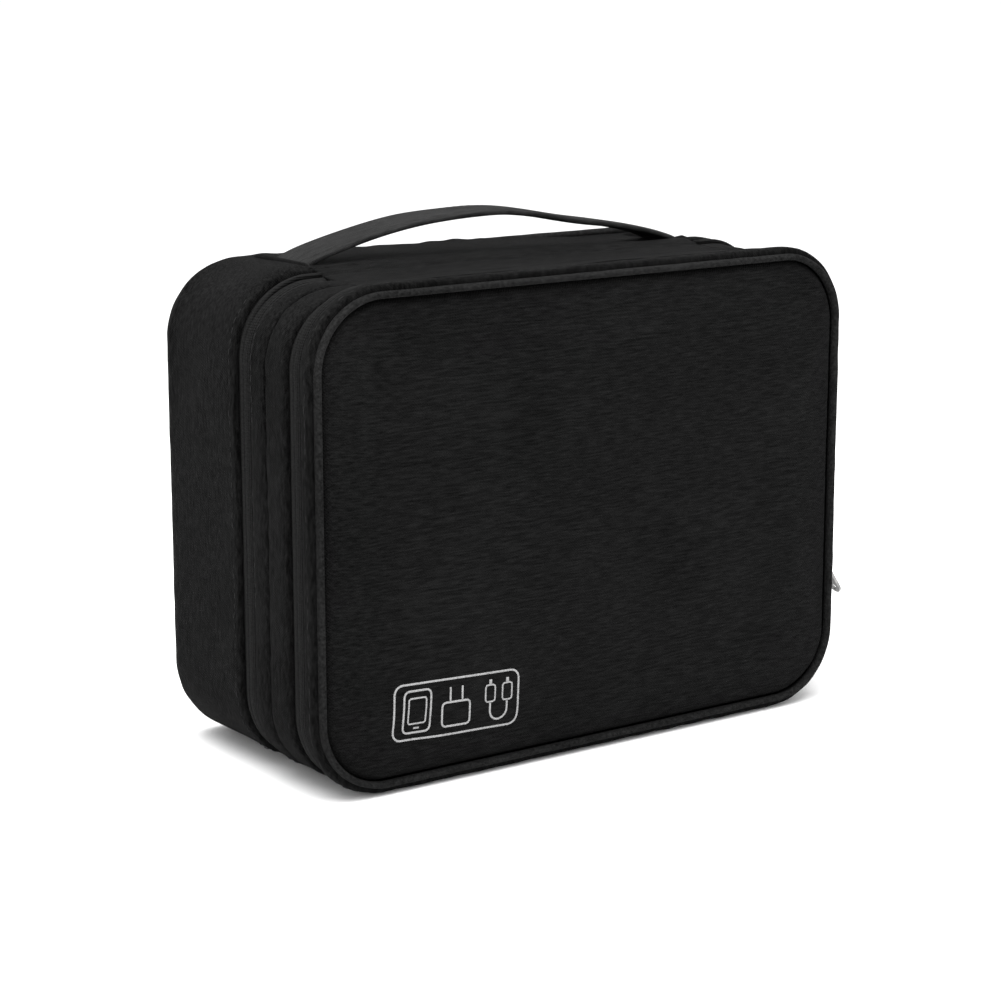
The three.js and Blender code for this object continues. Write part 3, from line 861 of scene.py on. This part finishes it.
def net_border(width, height, place_of):
    """The woven border round the pocket's sides and bottom."""
    edge = [(0.0, z) for z in np.linspace(height, 1.5, 24)]
    edge += [(x, 0.0) for x in np.linspace(1.5, width - 1.5, 60)]
    edge += [(width, z) for z in np.linspace(1.5, height, 24)]
    line = place_of(*np.array(edge).T)
    tangent = unit(np.gradient(line, axis=0))
    inward = NET_BORDER * np.column_stack([tangent[:, 2], np.zeros(len(edge)), -tangent[:, 0]])
    through = np.array([0, 0.3, 0])
    rings = [np.array([p + w + through, p - w + through, p - w - through, p + w - through])
             for p, w in zip(line, inward)]
    return loft(rings)




def make_net(name, low, high):
    """A knitted net of crossing threads, with a woven border sewn down round three sides."""
    width, height = high[0] - low[0], high[2] + 0.4 - low[2]

    def place_of(across, up):
        u, v = across / width, up / height
        y = high[1] + pocket_bulge(np.clip(u, 0, 1), v) - 0.35
        return np.column_stack([low[0] + across, y, low[2] + up])

    parts = []
    side_pitch = NET_PITCH * NET_LEAN[1] / NET_LEAN[0]
    for lean, side in ((NET_LEAN[0], 0.0), (-NET_LEAN[0], width)):
        starts = [(x, 0.0) for x in np.arange(0, width, NET_PITCH)]
        starts += [(side, z) for z in np.arange(NET_PITCH, height, side_pitch)]
        for start in starts:
            parts += net_strand(start, (lean, NET_LEAN[1]), width, height, place_of)
    parts.append(net_border(width, height, place_of))
    return add_mesh(f"{name}_cloth", *join_parts(parts), NET)


def make_hem(name, lining_y):
    """The elastic hem along a pocket's mouth, drawn into small gathers."""
    low, high = box_mm(f"{name}_elastic_hem")
    bottom, top = low[2] - 0.5, high[2]
    section = [(-0.5, bottom + 0.5), (-0.5, top - 0.5), (-0.2, top), (0.2, top),
               (0.5, top - 0.5), (0.5, bottom + 0.5), (0.2, bottom), (-0.2, bottom)]
    rings = []
    for share in np.linspace(0, 1, 161):
        x = low[0] + share * (high[0] - low[0])
        y = lining_y - 0.2 + gathers(share) + 0.9 * math.sin(share * math.pi) ** 0.7
        rings.append(np.array([(x, y + through, z) for through, z in section]))
    return add_mesh(f"{name}_hem", *loft(rings), ELASTIC)


def make_pocket(name, body):
    """A net pocket on the back of its lining, with a gathered elastic hem."""
    low, high = box_mm(f"{name}_net")
    pocket = fit(make_net(name, low, high), body, [f"{name}_net"])
    hem = fit(make_hem(name, high[1]), body, [f"{name}_elastic_hem"])


# ---- rear shell

TOP_HOLLOW = 1.9


def top_sag(x, y):
    """How far the soft top of the shell hangs down, mostly towards its right end."""
    return 3.3 * smooth(x, 10, 80) * (0.3 + 0.7 * smooth(y, 0, 14))


def top_hollow(x, y):
    """The dip in the middle of the shell's top, between its seams."""
    deep = np.clip((y - SHELL_FRONT) / (SHELL_BACK - SHELL_FRONT), 0, 1)
    return TOP_HOLLOW * max(0.0, 1 - (x / SPINE_HALF) ** 2) * np.sin(deep * math.pi * 0.92) ** 1.5


def shell_relief(ring, profile, place, normal):
    """The big wall sags and dips on top, and waves a little everywhere."""
    x, y = place[0], profile[:, 0]
    upward = max(normal[1], 0.0)
    waves = cloth_relief(0.75, 0.35)(ring, profile, place, normal)
    return waves - upward ** 4 * top_hollow(x, y) - upward ** 2 * top_sag(x, y)


def lining_relief(ring, profile, place, normal):
    """The lining hangs with the wall, and a little lower so that they stay apart."""
    x, y = place[0], profile[:, 0]
    return -0.5 - (top_sag(x, y) + top_hollow(x, y)) * max(normal[1], 0.0) ** 2


def make_rear_shell():
    wall = soft_profile(SHELL_FRONT - 0.1, SHELL_BACK + 0.1, edge=-VALLEY - 0.2, crest=0.0, inner=-3.0,
                        power=9.0, count=27)
    add_band("shell_wall_cover", wall, WALL_CLOTH, shell_relief, "rear_shell", ["rear_side_wall"])
    seam_end = SPINE_HALF + 2
    stitch_band("shell_wall_stitching", SHELL_FRONT + 2.6, -0.06, "rear_shell", shell_relief,
                start=seam_end, end=PERIMETER - seam_end, pitch=3.8)
    cord = oval_profile(REAR_PIPING_FRONT + 1.6, out=-3.0, depth=2.3, rise=1.6)
    add_band("rear_piping_cord", cord, PIPING_CLOTH, cloth_relief(0.12, 0.10), "rear_shell",
             ["rear_piping"])
    add_padded_panel(
        "rear_panel_cover", facing=1, seam_y=REAR_PIPING_FRONT + 0.2, rise=4.2,
        back_y=depth_span("rear_panel")[0] - 1.5, inset=PANEL_INSET + 0.3, pressure=0.8,
        body="rear_shell", nodes=["rear_panel", "rear_foam"])
    add_flat_panel("rear_lining_cloth", "rear_lining", PANEL_INSET + 0.6, "rear_shell", crown=0.3)
    lining = soft_profile(*depth_span("wall_lining"), edge=-3.5, crest=-3.4, inner=-4.3, count=9)
    add_band("wall_lining_cloth", lining, LINING_CLOTH, lining_relief, "rear_shell", ["wall_lining"])


# ---- dividers

DIVIDER_GAP = 3.6  # kept under the sagging top of the shell
DIVIDER_EDGE = 1.2  # from the divider's edge to the first row of its cloth


def make_divider(side):
    """A foam board in lining cloth, blown up a little by simulation, bound round its edge."""
    low, high = np.array(box_mm(f"divider_{side}"))
    high[2] -= DIVIDER_GAP
    middle_x = (low[0] + high[0]) / 2
    half_thick = (high[0] - low[0]) / 2 - 1.4
    columns, rows = 19, 53
    y, z = np.meshgrid(np.linspace(low[1] + DIVIDER_EDGE, high[1] - DIVIDER_EDGE, columns),
                       np.linspace(low[2] + DIVIDER_EDGE, high[2] - DIVIDER_EDGE, rows))
    sheets = []
    for way in (-1, 1):
        flat = np.column_stack([np.full(y.size, middle_x + way * half_thick), y.ravel(), z.ravel()])
        sheets.append(inflate(flat, rows, columns, way < 0, 2.0, cap=1.3, frames=12))
    body = f"divider_{side}"
    pad = add_mesh(f"{body}_pad", *close_sheets(*sheets, rows, columns), LINING_CLOTH)
    fit(pad, body, [body])
    line = dense(rounded_loop(low[1] + 1, high[1] - 1, low[2] + 1, high[2] - 1, 3.0), True, step=2.0)
    rings = []
    for (cy, cz), (ty, tz) in zip(line, unit(np.roll(line, -1, 0) - np.roll(line, 1, 0))):
        ring = [(middle_x + (half_thick + 1.0) * math.sin(a), cy + 0.9 * tz * math.cos(a),
                 cz - 0.9 * ty * math.cos(a)) for a in full_turn(10)]
        rings.append(np.array(ring))
    fit(add_mesh(f"{body}_binding", *loft(rings, closed=True), ELASTIC), body, [])


# ---- spine

# Places along Y from a zipper's middle, and how far the spine cloth lies there below the case's top.
FRONT_DIPS = [(-11.3, 0.3), (-8.3, -0.5), (-5.8, -0.3), (-2.8, 0.2), (-0.2, 1.2), (2.7, 1.4), (11.7, 2.3)]
REAR_DIPS = [(-12.8, 2.7), (-5.8, 2.3), (-0.1, 1.3), (6.2, -0.2), (12.2, -0.8)]


def top_height(y):
    """Height of the spine cloth above the floor, smoothed between its few known points."""
    line = [(FRONT_ZIPPER_Y + along, HEIGHT - dip) for along, dip in FRONT_DIPS]
    line += [(REAR_ZIPPER_Y + along, HEIGHT - dip) for along, dip in REAR_DIPS]
    places, heights = zip(*line)
    spread = np.linspace(-2.4, 2.4, 9)
    return np.mean([np.interp(y + d, places, heights) for d in spread], axis=0)


def make_spine(name, front, back, axis_y, nodes, tuck=0.0):
    """The fabric hinge: one strip of cloth from section to section, between the end seams.
    tuck lowers its front edge, where it is sewn under the strip in front of it."""
    columns, rows = 89, 27
    u, v = np.meshgrid(np.linspace(-1, 1, columns), np.linspace(0, 1, rows))
    x, y = u * (SPINE_HALF - 0.4), front + (back - front) * v
    flat = np.column_stack([x.ravel(), y.ravel(), np.full(x.size, HEIGHT)])
    z = top_height(y) + 0.3 * CLOTH_WAVE(flat).reshape(x.shape) - 0.5 * np.abs(u) ** 14
    z -= top_sag(x, y) * smooth(y, -16, 0)
    z -= tuck * np.exp(-((y - front) / 2.0) ** 2)
    z -= 0.45 * np.exp(-((y - axis_y) / 1.2) ** 2) * (1 + 0.4 * PUCKER_WAVE(flat).reshape(x.shape))
    top = np.column_stack([x.ravel(), y.ravel(), z.ravel()])
    spine = add_mesh(name, *close_sheets(top, top - (0, 0, FABRIC), rows, columns), SHELL_CLOTH)
    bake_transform(spine)
    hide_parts(*nodes)


# ---- strap

STRAP_LOW, STRAP_HIGH = box_mm("carry_strap")
STRAP_HALF_SPAN = box_mm("strap_end_right")[1][0]
STRAP_HALF_WIDTH = (STRAP_HIGH[1] - STRAP_LOW[1]) / 2
STRAP_THICK = 2.6
SEAM_INSET = 2.2  # from the strap's edge to its topstitching


def strap_height(x):
    """Height of the strap's middle: an arch, slack on the right and a little on the left."""
    foot = HEIGHT + STRAP_THICK / 2 - 0.4
    peak = STRAP_HIGH[2] - STRAP_THICK / 2
    share = np.clip(np.abs(x) / (STRAP_HALF_SPAN + 0.6), 0, 1)
    slack = 4.2 * smooth(x, -5, 46) + 1.5 * smooth(-x, 30, 75)
    return foot + (peak - foot) * (1 - share * share) ** 0.75 - slack


def strap_frames(count):
    """Middle points of the strap with its up direction, from one sewn end to the other."""
    x = STRAP_HALF_SPAN * np.cos(np.linspace(math.pi, 0, count))
    y = np.full(count, (STRAP_LOW[1] + STRAP_HIGH[1]) / 2)
    points = np.column_stack([x, y, strap_height(x)])
    tangent = unit(np.gradient(points, axis=0))
    return points, np.column_stack([-tangent[:, 2], np.zeros(count), tangent[:, 0]])


def blend_strap(piece):
    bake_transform(piece)


def make_strap():
    """Two layers of cloth folded round a webbing core, topstitched along both edges."""
    points, up = strap_frames(120)
    turn = full_turn(36)
    across = np.sign(np.cos(turn)) * np.abs(np.cos(turn)) ** 0.32 * STRAP_HALF_WIDTH
    lift = np.sign(np.sin(turn)) * np.abs(np.sin(turn)) ** 0.55 * STRAP_THICK / 2
    seam_distance = np.abs(across) - (STRAP_HALF_WIDTH - SEAM_INSET)
    lift -= 0.28 * np.exp(-(seam_distance / 0.55) ** 2) * np.sign(lift)
    rings = []
    for place, normal in zip(points, up):
        ring = place + across[:, None] * np.array([0, 1, 0]) + lift[:, None] * normal
        rings.append(ring + 0.12 * CLOTH_WAVE(ring)[:, None] * normal)
    strap = add_mesh("strap_cloth", *loft(rings), STRAP_CLOTH)
    blend_strap(strap)
    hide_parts("carry_strap", "strap_end_left", "strap_end_right")
    for tag, side in (("front", -1), ("back", 1)):
        aside = np.array([0, side * (STRAP_HALF_WIDTH - SEAM_INSET), 0])
        line = points + aside + up * (STRAP_THICK / 2 - 0.45)
        blend_strap(add_stitches(f"strap_stitching_{tag}", line[2:-2], up[2:-2], length=2.4, pitch=3.3))


def make_strap_seams():
    """The bound seams across the top, which the strap's ends are caught in."""
    for side, sign in (("left", -1), ("right", 1)):
        y = np.linspace(SHELL_FRONT + 1.0, depth_span(f"strap_seam_{side}")[1] - 3, 60)
        rings = []
        for place in y:
            fade = min(1.0, (place - y[0] + 1.5) / 6, (y[-1] - place + 1.5) / 6)
            middle_x = sign * (SPINE_HALF + 0.4) + 0.075 * math.sin(place * 0.55)
            foot = HEIGHT - 0.1 - 0.6 * (1 - fade) - top_sag(sign * SPINE_HALF, place)
            ring = [(middle_x + 0.9 * math.cos(a), place, foot + (1.3 * fade + 0.3) * math.sin(a))
                    for a in full_turn(12)]
            rings.append(np.array(ring))
        ridge = add_mesh(f"strap_seam_{side}_binding", *loft(rings), SHELL_CLOTH)
        fit(ridge, "rear_shell", [f"strap_seam_{side}"])


# ---- zipper hardware

def finish_hardware():
    """Sliders and pulls keep their CAD shapes, with softened edges and a metal finish."""
    for name, node in NODES.items():
        if name.endswith(("_slider", "_pull")):
            bevel = node.modifiers.new("softened_edges", "BEVEL")
            bevel.width = 0.22 * MM
            bevel.segments = 3
            bevel.limit_method = "ANGLE"
            node.data.materials.clear()
            node.data.materials.append(SLIDER_ZINC)


# ---- stage, light and camera

def make_stage():
    """A plain pale floor, just under the case."""
    material, _, shader, _ = new_material("studio_floor")
    shader.inputs["Base Color"].default_value = (0.97, 0.97, 0.97, 1)
    shader.inputs["Roughness"].default_value = 0.9
    bpy.ops.mesh.primitive_plane_add(size=60, location=(0, 0, -0.0006))
    floor = bpy.context.object
    floor.name = "studio_floor"
    floor.data.materials.append(material)


def make_light():
    """An even white surround and one softbox overhead. Places and sizes are in metres."""
    world = bpy.data.worlds.new("studio")
    world.use_nodes = True
    background = world.node_tree.nodes["Background"]
    background.inputs["Color"].default_value = (1, 1, 1, 1)
    background.inputs["Strength"].default_value = 1.06
    bpy.context.scene.world = world
    light = bpy.data.lights.new("overhead_softbox", "AREA")
    light.shape = "RECTANGLE"
    light.size, light.size_y = 1.6, 1.2
    light.energy = 34
    lamp = bpy.data.objects.new("overhead_softbox", light)
    lamp.location = (-0.25, -0.15, 1.3)
    lamp.rotation_euler = (Vector((0, 0, 0.1)) - lamp.location).to_track_quat("-Z", "Y").to_euler()
    bpy.context.scene.collection.objects.link(lamp)


def make_camera():
    """The photograph's camera, fitted to the case's edges and seams. Its distance is in metres."""
    azimuth, elevation = math.radians(-35.14), math.radians(12.24)
    distance = 1.001
    back = Vector((math.sin(azimuth) * math.cos(elevation), -math.cos(azimuth) * math.cos(elevation),
                   math.sin(elevation)))
    camera = bpy.data.cameras.new("camera")
    camera.lens = 91.96
    camera.shift_x, camera.shift_y = -0.0098, -0.0142
    rig = bpy.data.objects.new("camera", camera)
    rig.location = Vector((0, 0, HEIGHT * MM / 2)) + back * distance
    rig.rotation_euler = back.to_track_quat("Z", "Y").to_euler()
    bpy.context.scene.collection.objects.link(rig)
    bpy.context.scene.camera = rig


# ---- build

bpy.context.scene.view_settings.view_transform = "Standard"
make_camera()
make_light()
make_stage()
lid_panel = make_lid()
make_badge(lid_panel)
make_zipper_half("front_zipper", "lid_side", FRONT_ZIPPER_Y, LID_WALL_BACK, "front_lid", 0.0)
make_zipper_half("front_zipper", "tray_side", FRONT_ZIPPER_Y, TRAY_WALL_FRONT, "tray", TRAY_DROP / 2)
make_zipper_half("rear_zipper", "tray_side", REAR_ZIPPER_Y, BAND_BACK, "tray", TRAY_DROP / 2)
make_zipper_half("rear_zipper", "shell_side", REAR_ZIPPER_Y, SHELL_FRONT, "rear_shell", 0.0)
make_tray()
make_pocket("lid_pocket", "front_lid")
make_pocket("tray_rear_pocket", "tray")
make_rear_shell()
make_divider("left")
make_divider("right")
make_spine("front_spine_cloth", LID_WALL_BACK - 1.5, TRAY_MIDDLE, FRONT_ZIPPER_Y,
           ["front_spine_lid_side", "front_spine_tray_side"])
make_spine("rear_spine_cloth", TRAY_MIDDLE - 1.0, SHELL_FRONT + 4.0, REAR_ZIPPER_Y,
           ["rear_spine_tray_side", "rear_spine_shell_side"], tuck=1.0)
make_strap()
make_strap_seams()
finish_hardware()
